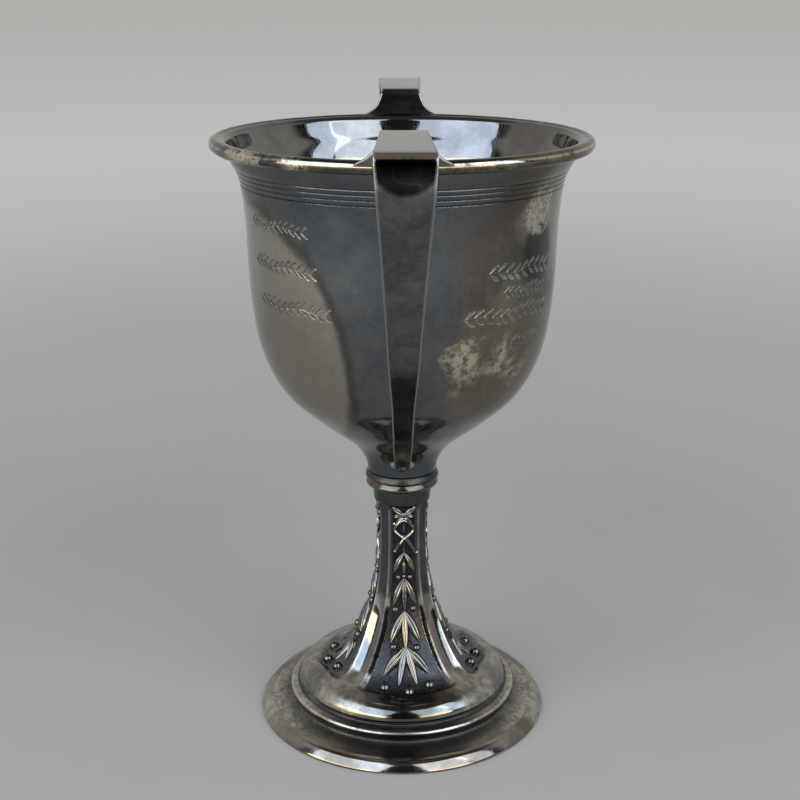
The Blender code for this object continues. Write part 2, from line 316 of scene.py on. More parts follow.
def build_foot_wire():
    inside = FOOT_RADIUS - 4.0
    side = [
        (FOOT_RADIUS - 0.6, 0.0),
        (FOOT_RADIUS - 0.15, 0.2),
        (FOOT_RADIUS, 0.7),
        (FOOT_RADIUS - 0.5, 1.6),
        (FOOT_RADIUS - 1.3, 2.65),
        (FOOT_RADIUS - 2.35, 3.5),
        (inside, 3.78),
    ]

    def shake(point):
        """Small waves above the face that the cup stands on."""
        return Vector((0, 0, noise.noise(point * 0.25) * 0.06 if point.z >= 0.3 else 0))

    return turned("foot_rolled_edge", [Vector((inside, 0.0)), *smooth_path(side, 5)], shake=shake)


# Stem

STEM_SHAPE = [
    (35.5, 11.2),
    (35.1, 12.7),
    (34.1, 14.2),
    (32.3, 15.6),
    (29.0, 16.8),
    (25.7, 17.9),
    (22.4, 20.5),
    (19.6, 24.0),
    (17.2, 28.0),
    (15.2, 32.0),
    (13.1, 37.0),
    (11.4, 43.0),
    (10.0, 50.0),
    (9.3, SEAM_HEIGHT),
    (9.1, 67.0),
    (9.2, 74.0),
    (9.5, PANEL_TOP),
    (9.9, COLLAR_BOTTOM - 0.3),
]
STEM_OUTLINE = smooth_path(STEM_SHAPE, 10)


def stem_point(angle, height, depth):
    """A point depth under the crests, at degrees round from the front and a height."""
    radius, normal = outline_spot(STEM_OUTLINE, height)
    return swing(angle, radius - normal.x * depth, height - normal.y * depth)


def spread_at(height):
    return clamp((SPREAD_HEIGHT - height) / (SPREAD_HEIGHT - PANEL_BOTTOM))


def spread_angle(angle, height):
    """Where an angle from a panel's middle comes to lie at a height, once the panel has spread."""
    off = abs(angle)
    if off < GROUND_EDGE:
        shift = GROUND_SPREAD * off / GROUND_EDGE
    elif off < CREST:
        shift = GROUND_SPREAD + (CREST_SPREAD - GROUND_SPREAD) * (off - GROUND_EDGE) / (CREST - GROUND_EDGE)
    else:
        shift = CREST_SPREAD * (45 - off) / (45 - CREST)
    return math.copysign(off + shift * spread_at(height), angle)


def ground_depth(off_middle, height):
    """Depth of a panel's ground under the crests: it is flatter than the crests' round."""
    sag = math.cos(math.radians(off_middle)) - math.cos(math.radians(GROUND_EDGE))
    return PANEL_DEPTH + 0.45 * sag * min(16.0, radius_at(STEM_OUTLINE, height))


def panel_floor(off_middle):
    """Height of a panel's lower edge: straight, with a small point in the middle."""
    point_half = 7.5
    if off_middle > point_half:
        return PANEL_BOTTOM
    return PANEL_BOTTOM - 0.12 - 0.38 * (1 - off_middle / point_half)


def flute_depth(height):
    """Depth of the flutes between panels: it grows with the girth and runs out on the dome."""
    depth = 0.05 * radius_at(STEM_OUTLINE, height)
    fade = clamp((height - PANEL_BOTTOM) / 3.5)
    top = clamp((PANEL_TOP + 1.5 - height) / 3.0)
    return depth * fade * fade * (3 - 2 * fade) * top


def build_stem_part(name, low, high):
    """The fluted skin between two heights, with the ground of its four sunk panels."""
    around = [-a for a in STEM_COLUMNS[:0:-1]] + STEM_COLUMNS + [45]
    columns = [(panel, angle) for panel in range(4) for angle in around]
    has_foot = low < PANEL_BOTTOM
    has_top = high > PANEL_TOP
    low_bevel = 0.45 * BEVEL
    body_rows, inner_rows = 64, 40
    rows = [("body", i / body_rows) for i in range(body_rows + 1)]
    if has_foot:
        dome = [("dome", share) for share in (0.0, 0.1, 0.2, 0.32, 0.44, 0.56, 0.68, 0.8, 0.9, 1.0)]
        rows = [*dome, ("low_bevel", 0.35), *rows]
    if has_top:
        rows += [("top", 0.0), ("top", 0.35), ("top", 1.0)]
    points, deep, wear_and_sheen = [], [], []
    for kind, share in rows:
        for panel, angle in columns:
            off = abs(angle)
            floor = panel_floor(off)
            bottom = floor + low_bevel if has_foot else low
            ceiling = PANEL_TOP - BEVEL if has_top else high
            relief = 0.0
            if kind == "dome":
                height = low + (floor - low) * share
            elif kind == "low_bevel":
                height = floor + low_bevel * share
                relief = share
            elif kind == "body":
                height = bottom + (ceiling - bottom) * (share**1.5 if has_foot else share)
                relief = 1.0
            else:
                height = PANEL_TOP + (high - PANEL_TOP) * share
            if off <= CREST:
                slope = min(1.0, (CREST - off) / (CREST - GROUND_EDGE))
                depth = ground_depth(min(off, GROUND_EDGE), height) * relief * slope
                # The ground is less black near the foot, most of all at the cup's sides: a painted reflection
                # of the room's light there.
                black = 1.0 - clamp((36 - height) / 14) * (0.45 if panel % 2 else 0.12)
                deep.append(relief * (black if off < 27 else 0.0))
            else:
                across = (off - CREST) / (45 - CREST)
                depth = flute_depth(height) * (1 - (1 - across) ** 2)
                deep.append(0.0)
            worn = clamp((height - PANEL_BOTTOM) / 3) * min(1.0, max(0.5, (62 - height) / 20))
            wear_and_sheen.append(worn if off in WORN_CREST and height < PANEL_TOP - 2 else 0.0)
            points.append(stem_point(panel * 90 + spread_angle(angle, height) + PANEL_TURN, height, depth))
    # The inside goes back down, without the ornament.
    for i in range(inner_rows + 1):
        share = i / inner_rows
        height = high + (low - high) * (1 - (1 - share) ** 2)
        for panel, angle in columns:
            point = stem_point(panel * 90 + spread_angle(angle, height) + PANEL_TURN, height, STEM_WALL)
            point.z = min(high, max(low, point.z))
            points.append(point)
    extra = (inner_rows + 1) * len(columns)
    faces = grid_faces(len(rows) + inner_rows + 1, len(columns), True, True)
    marks = {"deep": deep + [0.0] * extra, "wear_and_sheen": wear_and_sheen + [0.0] * extra}
    return mesh_object(name, points, faces, marks, sharp=24)


# Garlands: (angle, height) on the ground of a panel, in degrees from its middle and millimetres

LEAVES = [
    # base angle, base height, tip angle, tip height, half width; the first four are the bow's loops
    (0, 73.0, -25, 76.0, 1.15),
    (0, 73.0, 25, 76.0, 1.15),
    (-1, 73.2, -24, 72.2, 0.8),
    (1, 73.2, 24, 72.2, 0.8),
    (0, 59.6, -22, 52.6, 1.15),
    (0, 59.6, 22, 52.6, 1.15),
    (0, 56.6, 0, 51.6, 0.85),
    (-1, 50.4, -20, 41.4, 1.4),
    (0, 50.0, 0, 39.6, 1.2),
    (1, 50.4, 20, 41.6, 1.5),
    (-1, 39.4, -19, 29.8, 1.65),
    (0, 39.4, 0, 27.6, 1.4),
    (1, 39.4, 19, 29.6, 1.65),
    (-1, 28.6, -21, 20.6, 1.8),
    (-0.5, 28.6, -7, 18.8, 1.5),
    (0.5, 28.6, 8, 19.0, 1.5),
    (1, 28.6, 21, 20.8, 1.8),
]
BERRIES = [
    # angle, height, radius; the first is the bow's knot
    (0, 73.1, 1.25),
    (-13, 50.8, 0.95),
    (0, 51.1, 0.8),
    (13, 50.8, 0.95),
    (-16, 40.0, 1.2),
    (16, 40.2, 1.2),
    (-15, 28.6, 1.3),
    (14, 28.2, 1.3),
    (-18, 18.2, 1.8),
    (1, 17.6, 1.85),
    (18, 18.4, 1.75),
]
RIBBONS = [
    # points and half width: the ends of the bow, then the wound ribbon
    ([(0, 72.8), (-10, 71.6), (-17, 70.0), (-22, 70.4)], 0.6),
    ([(0, 72.8), (8, 71.6), (16, 70.0), (24, 69.2)], 0.6),
    ([(-1, 71.6), (-14, 70.4), (-20, 68.0), (-10, 66.2), (3, 64.8), (14, 62.6), (24, 59.9), (31, 59.7)], 0.5),
    ([(1, 71.6), (13, 70.2), (20, 67.8), (10, 66.0), (-3, 64.6), (-12, 62.6), (-19, 60.6), (-24, 60.4)], 0.5),
]
STALKS = [
    # points and half width: the stem of the garland, then the stalks of the berries
    ([(0, 73.6), (0, 66.0), (0, 59.0), (0, 50.0), (0, 39.0), (0, 28.0), (0, 24.0)], 0.32),
    ([(0, 53.2), (-6, 52.3), (-12, 50.9)], 0.192),
    ([(0, 53.2), (6, 52.3), (13, 50.9)], 0.192),
    ([(0, 43.0), (-8, 41.8), (-14, 40.2)], 0.208),
    ([(0, 43.0), (8, 41.8), (14, 40.4)], 0.208),
    ([(0, 31.6), (-7, 30.2), (-13, 28.6)], 0.24),
    ([(0, 31.6), (6, 30.2), (12, 28.4)], 0.24),
]


def off_panel(angle, height):
    """Degrees from the middle of the nearest panel, before it spreads."""
    off = abs((angle - PANEL_TURN + 45) % 90 - 45)
    return min(GROUND_EDGE, off / (1 + spread_at(height) * GROUND_SPREAD / GROUND_EDGE))


# (across, lift, rub) over a section, as shares of its half width and height; the leaf's is one half
LEAF_HALF = [(0.0, 0.74, 0.0), (0.14, 0.94, 0.5), (0.4, 1.0, 0.15), (0.68, 0.8, 0.0), (0.88, 0.45, 0.0)]
LEAF_HALF.append((1.0, 0.0, 0.0))
LEAF_SECTION = [(-x, z, worn) for x, z, worn in LEAF_HALF[:0:-1]] + LEAF_HALF
RIBBON_SECTION = [(-1.0, 0.0, 0.0), (-0.8, 0.95, 0.6), (0.0, 0.6, 0.0), (0.8, 0.95, 0.6), (1.0, 0.0, 0.0)]
STALK_SECTION = [(-1.0, 0.0, 0.0), (-0.7, 0.7, 0.0), (0.0, 1.0, 0.3), (0.7, 0.7, 0.0), (1.0, 0.0, 0.0)]


def leaf_size(share):
    """(width, height) of a leaf at a share of its length: it is pointed at both ends."""
    width = math.sin(math.pi * min(1.0, share * 0.94 + 0.03)) ** 0.75
    return width, 0.4 + 0.6 * math.sin(math.pi * min(1.0, share * 0.9 + 0.05))


def even_size(_share):
    return 1.0, 1.0


def add_relief(points, faces, wear_and_sheen, path, section, half_width, lift, size_at=even_size):
    """Adds a raised strip along (angle, height) points, rooted a little under the ground."""
    root = 0.12
    spots = []
    for angle, height in path:
        _, flat = outline_spot(STEM_OUTLINE, height)
        point = stem_point(angle, height, ground_depth(off_panel(angle, height), height))
        spots.append((point, swing(angle, flat.x, flat.y)))

    def section_at(share):
        width, rise = size_at(share)
        return [(x * width * half_width, z * rise * lift - root, worn) for x, z, worn in section]

    add_strip(points, faces, wear_and_sheen, spots, section_at)


def build_garlands():
    points, faces, wear_and_sheen = [], [], []
    leaf_steps, berry_rings, berry_columns = 12, 7, 14
    for panel in range(4):
        turn = panel * 90 + PANEL_TURN
        for base, base_height, tip, tip_height, half_width in LEAVES:
            path = []
            for i in range(leaf_steps + 1):
                share = i / leaf_steps
                bow = math.sin(math.pi * share) * (tip - base) * 0.12
                angle = turn + base + (tip - base) * share + bow
                path.append((angle, base_height + (tip_height - base_height) * share))
            lift = 0.65 + half_width * 0.33
            add_relief(points, faces, wear_and_sheen, path, LEAF_SECTION, half_width, lift, leaf_size)
        for path, half_width in RIBBONS:
            curve = [(p.x + turn, p.y) for p in smooth_path(path, 5)]
            add_relief(points, faces, wear_and_sheen, curve, RIBBON_SECTION, half_width, 0.9)
        for path, half_width in STALKS:
            curve = [(p.x + turn, p.y) for p in smooth_path(path, 4)]
            add_relief(points, faces, wear_and_sheen, curve, STALK_SECTION, half_width, 0.45)
        for angle, height, size in BERRIES:
            around = turn + angle
            floor = ground_depth(off_panel(around, height), height)
            center = stem_point(around, height, floor * min(1.0, (height - PANEL_BOTTOM + 2) / 4))
            add_ball(points, faces, center, (size, size, size), berry_rings, berry_columns)
            wear_and_sheen += [0.0] * (len(points) - len(wear_and_sheen))
    return mesh_object("stem_garlands", points, faces, {"wear_and_sheen": wear_and_sheen}, sharp=60)


# Engraved sprigs on the bowl, in place of lettering

SPRIGS = [
    # first angle, last angle, height, leaf length
    (-66, -35, 175.0, 3.4),
    (-65, -32, 163.0, 3.6),
    (-63, -27, 151.0, 3.8),
    (29, 62, 162.5, 4.4),
    (20, 64, 149.5, 4.4),
    (36, 60, 156.0, 3.2),
    (43, 60, 140.5, 3.3),
]
BOWL_TURN = 57.3 / 49.0  # degrees round the bowl for a millimetre
# (across, lift, deep) over a cut: across is a share of its half width, lift is in millimetres
CUT_SECTION = [(-1.0, -0.02, 0.0), (-0.9, 0.1, 0.0), (0.0, 0.015, 0.6), (0.9, 0.1, 0.0), (1.0, -0.02, 0.0)]


def engrave(points, faces, deep, path, half_width):
    """A bright V cut along (angle, height) points on the bowl, pointed at both ends."""
    spots = []
    for angle, height in path:
        radius, flat = outline_spot(BOWL_OUTLINE, height)
        spots.append((swing(angle, radius, height), swing(angle, flat.x, flat.y)))

    def section_at(share):
        wide = half_width * (0.12 + 0.88 * math.sin(math.pi * share))
        return [(x * wide, lift, dark) for x, lift, dark in CUT_SECTION]

    add_strip(points, faces, deep, spots, section_at)


def twig_point(first, last, height, share):
    """(angle, height) on a sprig's waving twig, at a share of its length."""
    return first + (last - first) * share, height + 0.5 * math.sin(12.48 * share)


def build_engraving():
    points, faces, deep = [], [], []
    twig_steps, leaf_steps = 24, 8
    for first, last, height, leaf in SPRIGS:
        twig = [twig_point(first, last, height, i / twig_steps) for i in range(twig_steps + 1)]
        engrave(points, faces, deep, twig, 0.16)
        pairs = round((last - first) / BOWL_TURN / (leaf * 0.72))
        for pair in range(pairs):
            angle, level = twig_point(first, last, height, (pair + 0.4) / pairs)
            for side in (1, -1):
                path = []
                for i in range(leaf_steps + 1):
                    t = i / leaf_steps
                    along = leaf * (0.80 * t + 0.12 * math.sin(math.pi * t))
                    rise = side * leaf * (0.50 * t + 0.16 * math.sin(math.pi * t))
                    path.append((angle + along * BOWL_TURN, level + rise))
                engrave(points, faces, deep, path, leaf * 0.14)
    return mesh_object("bowl_engraving", points, faces, {"deep": deep}, sharp=12)


# Handles

RISER_POINTS = 10  # points of the path on the upright part at the rim
STRAP_TOP = 204.0  # above this height the strap lies level
STRAP_HALF_WIDTHS = [
    # height, half width, down the outside
    (STRAP_TOP, 7.95),
    (195, 7.35),
    (178, 6.35),
    (164.5, 5.66),
    (140.5, 4.6),
    (125, 3.55),
    (109, 3.05),
    (98, 2.67),
    (80, 2.3),
]


def handle_path():
    """Middle line of the strap as (radius, height): riser, level top, and down to the bowl."""
    riser = RIM_RADIUS - 1.0
    top = HANDLE_TOP - STRAP / 2
    outer = HANDLE_REACH - STRAP / 2
    path = [Vector((riser, RIM_HEIGHT - 1.6 + i * 0.5)) for i in range(RISER_POINTS)]
    path += arc((riser + 2.0, top - 2.0), 2.0, 180, 90, 8)
    path += [Vector((riser + 2.0 + (outer - riser - 4.2) * i / 6, top)) for i in range(1, 6)]
    path += arc((outer - 2.2, top - 2.2), 2.2, 90, 0, 12)
    path += arc((outer - 8.0, top - 7.0), 8.0, 0, -38.5, 8)
    shoulder = path[-1]
    landing = Vector((44.2, 120.5))
    path += [shoulder.lerp(landing, i / 24) for i in range(1, 24)]
    below = [landing, (34.8, 108.5), (22.6, 98.4), (14.9, 92.8)]
    return path + smooth_path(below, 10)


def strap_half_width(point, on_riser):
    if on_riser:
        return 6.4 + 7.4 * math.exp(-max(0.0, point.y - 197.0) / 2.8)
    if point.y > STRAP_TOP:
        return 6.5 + 1.5 * (point.x - RIM_RADIUS) / (HANDLE_REACH - RIM_RADIUS)
    for (high, wide), (low, narrow) in zip(STRAP_HALF_WIDTHS, STRAP_HALF_WIDTHS[1:]):
        if point.y >= low:
            return narrow + (wide - narrow) * (point.y - low) / (high - low)
    return STRAP_HALF_WIDTHS[-1][1]


def strap_section(half_width, thickness):
    """(across, out, rub) round the strap, with rounded edges that are rubbed bright."""
    ease = 0.34
    half = thickness / 2
    flat = half_width - ease
    side = []
    for share in (1.0, 0.66, 0.33, 0.0):
        a = math.radians(90 * (1 - share))
        side.append((flat + ease * math.sin(a), half - ease + ease * math.cos(a), 1.0))
    face = [(flat * x, half, 0.0) for x in (-0.92, -0.6, -0.2, 0.2, 0.6, 0.92)]
    top = [(-x, z, wear_and_sheen) for x, z, wear_and_sheen in side[::-1]] + face + side
    return top + [(-x, -z, wear_and_sheen) for x, z, wear_and_sheen in top]


def build_handle(name, side):
    """side is 1 for the handle at the front and -1 for the one at the back."""
    path = handle_path()
    points, wear_and_sheen, top, wear_and_painted_highlight = [], [], [], []
    for i, point in enumerate(path):
        on_riser = i < RISER_POINTS + 4 and point.x < RIM_RADIUS + 1
        normal = side_of(path, i) * -1
        follow = max(0.0, 1.0 - i / RISER_POINTS)  # how closely the strap follows the rim's round
        left = len(path) - 1 - i
        tip = math.sqrt(1 - (1 - min(1.0, (left + 0.3) / 5)) ** 2)
        half_width = strap_half_width(point, on_riser) * tip
        for across, out, worn in strap_section(half_width, STRAP * (0.45 + 0.55 * tip)):
            radius = point.x + normal.x * out
            height = point.y + normal.y * out
            bent = math.sqrt(max(0.0, radius**2 - across**2))
            reach = radius + (bent - radius) * follow
            points.append(Vector((side * across, -side * reach, height)))
            # The rounded corner at the top of the outer end gets a painted highlight, partly a worn corner.
            corner = 0.55 < normal.y < 0.9 and out > 0 and point.x > HANDLE_REACH - 4
            wear_and_sheen.append(0.8 * worn)
            wear_and_painted_highlight.append(1.0 if corner else 0.0)
            # Painted light: the strap's top face is painted lighter, as the room's light from above is
            # reflected there.
            top.append(1.0 if normal.y > 0.9 and out > 0 else 0.0)
    size = len(points) // len(path)
    faces = [face[::-1] for face in grid_faces(len(path), size, False, True)]
    faces += [tuple(range(size)), tuple(range(len(points) - size, len(points)))[::-1]]
    return mesh_object(name, points, faces, {"wear_and_sheen": wear_and_sheen, "top": top, "wear_and_painted_highlight": wear_and_painted_highlight}, sharp=40)


def build_solder():
    """Solder under the front strap's end: a pool run out onto the bowl, with a ball on it."""
    points, wear_and_sheen = [], []
    rings, columns = 10, 24
    for i in range(rings + 1):
        share = i / rings
        rise = 1.1 * math.cos(math.pi / 2 * share) ** 1.5 - 0.06
        wide = 3.7 * math.sin(math.pi / 2 * share)
        for j in range(columns):
            a = math.tau * j / columns
            x = wide * math.cos(a) * 1.05
            z = 92.2 + wide * math.sin(a) * 0.66
            skin = radius_at(BOWL_OUTLINE, max(88.0, z))
            points.append((x, -math.sqrt(max(0.0, skin**2 - x**2)) - rise, z))
            # A painted highlight on the upper side of the pool, carried by the rubbed-edge mark.
            wear_and_sheen.append(0.5 if 0.25 < share < 0.6 and math.sin(a) > 0.2 else 0.0)
    faces = [face[::-1] for face in grid_faces(rings + 1, columns, False, True)]
    add_ball(points, faces, (0.3, -16.7, 93.9), (1.3, 1.2, 1.2), rings, columns)
    wear_and_sheen += [0.0] * (len(points) - len(wear_and_sheen))
    return mesh_object("handle_solder", points, faces, {"wear_and_sheen": wear_and_sheen}, sharp=60)


# Materials


class Nodes:
    """A short way to write the node tree of a material or a world."""

    def __init__(self, tree, shader, place):
        self.tree = tree
        self.shader = tree.nodes[shader]
        self.place = tree.nodes.new("ShaderNodeTexCoord").outputs[place]

    def link(self, source, target):
        if isinstance(source, (int, float)):
            target.default_value = source
        elif isinstance(source, tuple):
            target.default_value = (*source, 1.0) if len(source) == 3 else source
        else:
            self.tree.links.new(source, target)

    def noise(self, scale, detail=3.0, roughness=0.5, distortion=0.0, place=None):
        node = self.tree.nodes.new("ShaderNodeTexNoise")
        self.link(place or self.place, node.inputs["Vector"])
        node.inputs["Scale"].default_value = scale
        node.inputs["Detail"].default_value = detail
        node.inputs["Roughness"].default_value = roughness
        node.inputs["Distortion"].default_value = distortion
        return node.outputs["Fac"]

    def stretched(self, turn, scale):
        node = self.tree.nodes.new("ShaderNodeMapping")
        self.link(self.place, node.inputs["Vector"])
        node.inputs["Rotation"].default_value = turn
        node.inputs["Scale"].default_value = scale
        return node.outputs["Vector"]

    def steps(self, value, low, high):
        """Smooth step of a value from 0 at low to 1 at high."""
        node = self.tree.nodes.new("ShaderNodeMapRange")
        node.interpolation_type = "SMOOTHSTEP"
        self.link(value, node.inputs["Value"])
        node.inputs["From Min"].default_value = low
        node.inputs["From Max"].default_value = high
        return node.outputs["Result"]

    def math(self, operation, a, b=0.0):
        node = self.tree.nodes.new("ShaderNodeMath")
        node.operation = operation
        self.link(a, node.inputs[0])
        self.link(b, node.inputs[1])
        return node.outputs[0]

    def times(self, a, b):
        return self.math("MULTIPLY", a, b)

    def plus(self, a, b):
        return self.math("ADD", a, b)

    def mix(self, share, a, b):
        node = self.tree.nodes.new("ShaderNodeMix")
        node.data_type = "RGBA"
        self.link(share, node.inputs["Factor"])
        self.link(a, node.inputs["A"])
        self.link(b, node.inputs["B"])
        return node.outputs["Result"]

    def mark(self, name):
        """A float attribute of the mesh."""
        node = self.tree.nodes.new("ShaderNodeAttribute")
        node.attribute_name = name
        return node.outputs["Fac"]

    def length(self):
        """Distance of the place from the origin, in metres."""
        node = self.tree.nodes.new("ShaderNodeVectorMath")
        node.operation = "LENGTH"
        self.link(self.place, node.inputs[0])
        return node.outputs["Value"]

    def axis(self, name):
        node = self.tree.nodes.new("ShaderNodeSeparateXYZ")
        self.link(self.place, node.inputs[0])
        return node.outputs[name]

    def glossy_ray(self):
        return self.tree.nodes.new("ShaderNodeLightPath").outputs["Is Glossy Ray"]

    def within(self, center, sizes, ragged):
        """1 inside an ellipsoid in millimetres, with an edge that ragged moves in and out."""
        node = self.tree.nodes.new("ShaderNodeMapping")
        node.vector_type = "TEXTURE"
        self.link(self.place, node.inputs["Vector"])
        node.inputs["Location"].default_value = Vector(center) * MM
        node.inputs["Scale"].default_value = Vector(sizes) * MM
        length = self.tree.nodes.new("ShaderNodeVectorMath")
        length.operation = "LENGTH"
        self.link(node.outputs["Vector"], length.inputs[0])
        far = self.plus(length.outputs["Value"], self.times(ragged, 0.10))
        return self.steps(far, 1.12, 0.99)

    def near(self, center, size):
        """1 at a place in millimetres, 0 from size away."""
        node = self.tree.nodes.new("ShaderNodeVectorMath")
        node.operation = "DISTANCE"
        self.link(self.place, node.inputs[0])
        node.inputs[1].default_value = Vector(center) * MM
        return self.steps(node.outputs["Value"], size * MM, 0.15 * size * MM)

    def bump(self, height, distance, strength=1.0):
        node = self.tree.nodes.new("ShaderNodeBump")
        self.link(height, node.inputs["Height"])
        node.inputs["Distance"].default_value = distance
        node.inputs["Strength"].default_value = strength
        self.tree.links.new(node.outputs["Normal"], self.shader.inputs["Normal"])

    def scratches(self):
        """Hair scratches: thin level lines of stretched noise, in two directions."""
        lines = None
        for turn, scale in (((0.3, 0.5, 0.2), (900, 60, 90)), ((1.1, 0.2, 1.4), (70, 800, 60))):
            level = self.noise(1.0, 1.0, place=self.stretched(turn, scale))
            thin = self.steps(self.math("ABSOLUTE", self.math("SUBTRACT", level, 0.5)), 0.012, 0.0)
            lines = thin if lines is None else self.math("MAXIMUM", lines, thin)
        return lines


def new_material(name):
    material = bpy.data.materials.new(name)
    material.use_nodes = True
    nodes = Nodes(material.node_tree, "Principled BSDF", "Object")
    nodes.shader.inputs["Metallic"].default_value = 1.0
    return material, nodes


# Tones of the marks. The top tone paints the handles' tops lighter, the highlight tone is a painted
# highlight, the line tone is a painted shade line round painted light patches, and the rubbed tone also
# paints a highlight on the solder.
RUBBED_AND_SHEEN_TONE = (0.55, 0.52, 0.46)
PAINTED_SHADE_LINE_TONE = (0.045, 0.043, 0.042)
INSIDE_TONES = (0.19, 0.18, 0.172), (0.27, 0.262, 0.255)
PAINTED_TOP_LIGHT_TONE = (0.38, 0.38, 0.37)
WEAR_AND_HIGHLIGHT_TONE = (0.72, 0.66, 0.56)
DEEP_TONE = (0.018, 0.019, 0.024)


def silver(
    name,
    cool,
    warm,
    bright,
    roughness,
    cloud=16.0,
    worn=0.62,
    regions=(),
    patches=(),
    painted_light_patch=None,
    rubbed=None,
    matte_painted_sheen=(),
    polish=None,
    grain=1.0,
    mottle=0.25,
):
    """Tarnished silver plate: cloudy tarnish, spots rubbed bright, and faint hair scratches.

    cool and warm are the tarnish's two tones, and bright is the bare metal. cloud is the scale of
    its clouds, and grain makes its texture finer. Less worn lets more bright spots through.
    mottle is the share of dark speckles. rubbed is the tone of evenly rubbed edges; without it
    they are bright between specks. regions are (center, size, color): tarnish tones, and in some calls a
    painted dark reflection. patches of bare metal are (center, size, amount), matte patches of painted sheen
    are (center, size), polish is (center, size) and the painted light patch is (center, sizes, color), all in
    millimetres; the painted light patch is a painted reflection or shade with a painted dark shade line round
    it.
    The marks wear_and_sheen, inside, top, wear_and_painted_highlight and deep come from the mesh. top paints
    the handles' tops lighter, and wear_and_painted_highlight paints a highlight line."""
    material, n = new_material(name)
    # Cloudy tarnish
    clouds = n.steps(n.noise(cloud, 4.0, 0.55, 0.6), 0.38, 0.62)
    film = n.noise(95.0 * grain, 6.0, 0.6)
    speck = n.noise(420.0 * grain, 5.0, 0.7)
    color = n.mix(clouds, cool, warm)
    for center, size, tone in regions:
        near = n.steps(n.plus(n.near(center, size), n.times(film, 0.9)), 0.5, 1.05)
        color = n.mix(near, color, tone)
    # Matte patches of painted sheen, lighter where the room's light is reflected, then dark specks
    dull = 0.0
    for center, size in matte_painted_sheen:
        spread = n.plus(n.near(center, size), n.times(film, 0.7))
        spread = n.steps(n.plus(spread, n.times(speck, 0.25)), 0.62, 1.25)
        dull = spread if dull == 0.0 else n.math("MAXIMUM", dull, spread)
    blotch = n.plus(n.times(speck, 0.6), n.times(film, 0.4))
    bare_and_sheen_tone = n.mix(n.steps(blotch, 0.38, 0.62), tuple(0.6 * v for v in bright), bright)
    if matte_painted_sheen:
        color = n.mix(n.times(dull, 0.9), color, bare_and_sheen_tone)
    dark_specks = n.times(n.steps(blotch, 0.56, 0.40), mottle)
    color = n.mix(dark_specks, color, tuple(0.4 * v for v in cool))
    # A painted light patch: a painted reflection or painted shade, with a painted dark shade line round it
    if painted_light_patch:
        center, sizes, tone = painted_light_patch
        inside = n.within(center, sizes, film)
        patch_tone = n.mix(n.steps(n.noise(30.0, 3.0), 0.35, 0.7), tone, tuple(0.86 * v for v in tone))
        patch_tone = n.mix(dark_specks, patch_tone, tuple(0.55 * v for v in tone))
        color = n.mix(inside, color, patch_tone)
        line = n.times(n.times(inside, n.math("SUBTRACT", 1.0, inside)), 3.0)
        color = n.mix(line, color, PAINTED_SHADE_LINE_TONE)
    color = n.mix(n.times(n.steps(film, 0.35, 0.75), 0.05), color, bright)
    # Bare spots
    spots = n.steps(n.plus(film, n.times(speck, 0.35)), worn + 0.17, worn + 0.24)
    for center, size, amount in patches:
        near = n.times(n.near(center, size), amount)
        patchy = n.plus(n.times(film, 1.1), n.times(speck, 0.55))
        patchy = n.steps(n.plus(patchy, near), 1.30, 1.60)
        spots = n.math("MAXIMUM", spots, n.times(patchy, n.steps(speck, 0.36, 0.54)))
    color = n.mix(n.times(spots, 0.85), color, bare_and_sheen_tone)
    # Rubbed edges (and a painted highlight on the solder), the bowl's inside, the handles' tops painted
    # lighter as painted light, painted highlights on worn corners and the rim, and dark ground (and painted
    # shade in the foot's cove)
    edge = n.mark("wear_and_sheen")
    if not rubbed:
        edge = n.times(edge, n.steps(speck, 0.28, 0.5))
    color = n.mix(edge, color, rubbed or RUBBED_AND_SHEEN_TONE)
    inner = n.mark("inside")
    mottled = n.mix(n.steps(n.noise(60.0, 5.0, 0.65), 0.35, 0.65), *INSIDE_TONES)
    color = n.mix(inner, color, mottled)
    color = n.mix(n.mark("top"), color, PAINTED_TOP_LIGHT_TONE)
    color = n.mix(n.times(n.mark("wear_and_painted_highlight"), n.steps(film, 0.30, 0.52)), color, WEAR_AND_HIGHLIGHT_TONE)
    deep = n.mark("deep")
    color = n.mix(n.times(deep, 0.95), color, DEEP_TONE)
    lines = n.scratches()
    color = n.mix(n.times(lines, 0.04), color, bright)
    n.link(color, n.shader.inputs["Base Color"])
    # Roughness: dull where the metal is worn or dark, glossy in the polished place and inside
    rough = n.plus(roughness, n.times(n.steps(film, 0.3, 0.8), 0.05))
    rough = n.plus(rough, n.times(dull, 0.22))
    if polish:
        rough = n.math("SUBTRACT", rough, n.times(n.near(*polish), roughness - 0.03))
    rough = n.plus(rough, n.times(spots, 0.18))
    rough = n.plus(rough, n.times(edge, 0.10))
    rough = n.plus(rough, n.times(deep, 0.12))
    rough = n.math("SUBTRACT", rough, n.times(inner, 0.06))
    n.link(rough, n.shader.inputs["Roughness"])
    # Bump: waves and scratches, a stippled ground and pitted bare spots
    height = n.plus(n.times(film, 0.5), n.times(lines, -0.06))
    height = n.plus(height, n.times(n.noise(34.0, 2.0), 1.6))
    stipple = n.times(n.steps(n.noise(3200.0, 0.0), 0.35, 0.6), deep)
    height = n.plus(height, n.times(stipple, 2.4))
    height = n.plus(height, n.times(spots, n.times(speck, 1.6)))
    n.bump(height, 0.00005, 0.5)
    return material


def finish_piece(piece, material, slot, *nodes):
    piece.data.materials.clear()
    piece.data.materials.append(material)
    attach(piece, "root")
    if nodes:
        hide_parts(*nodes)


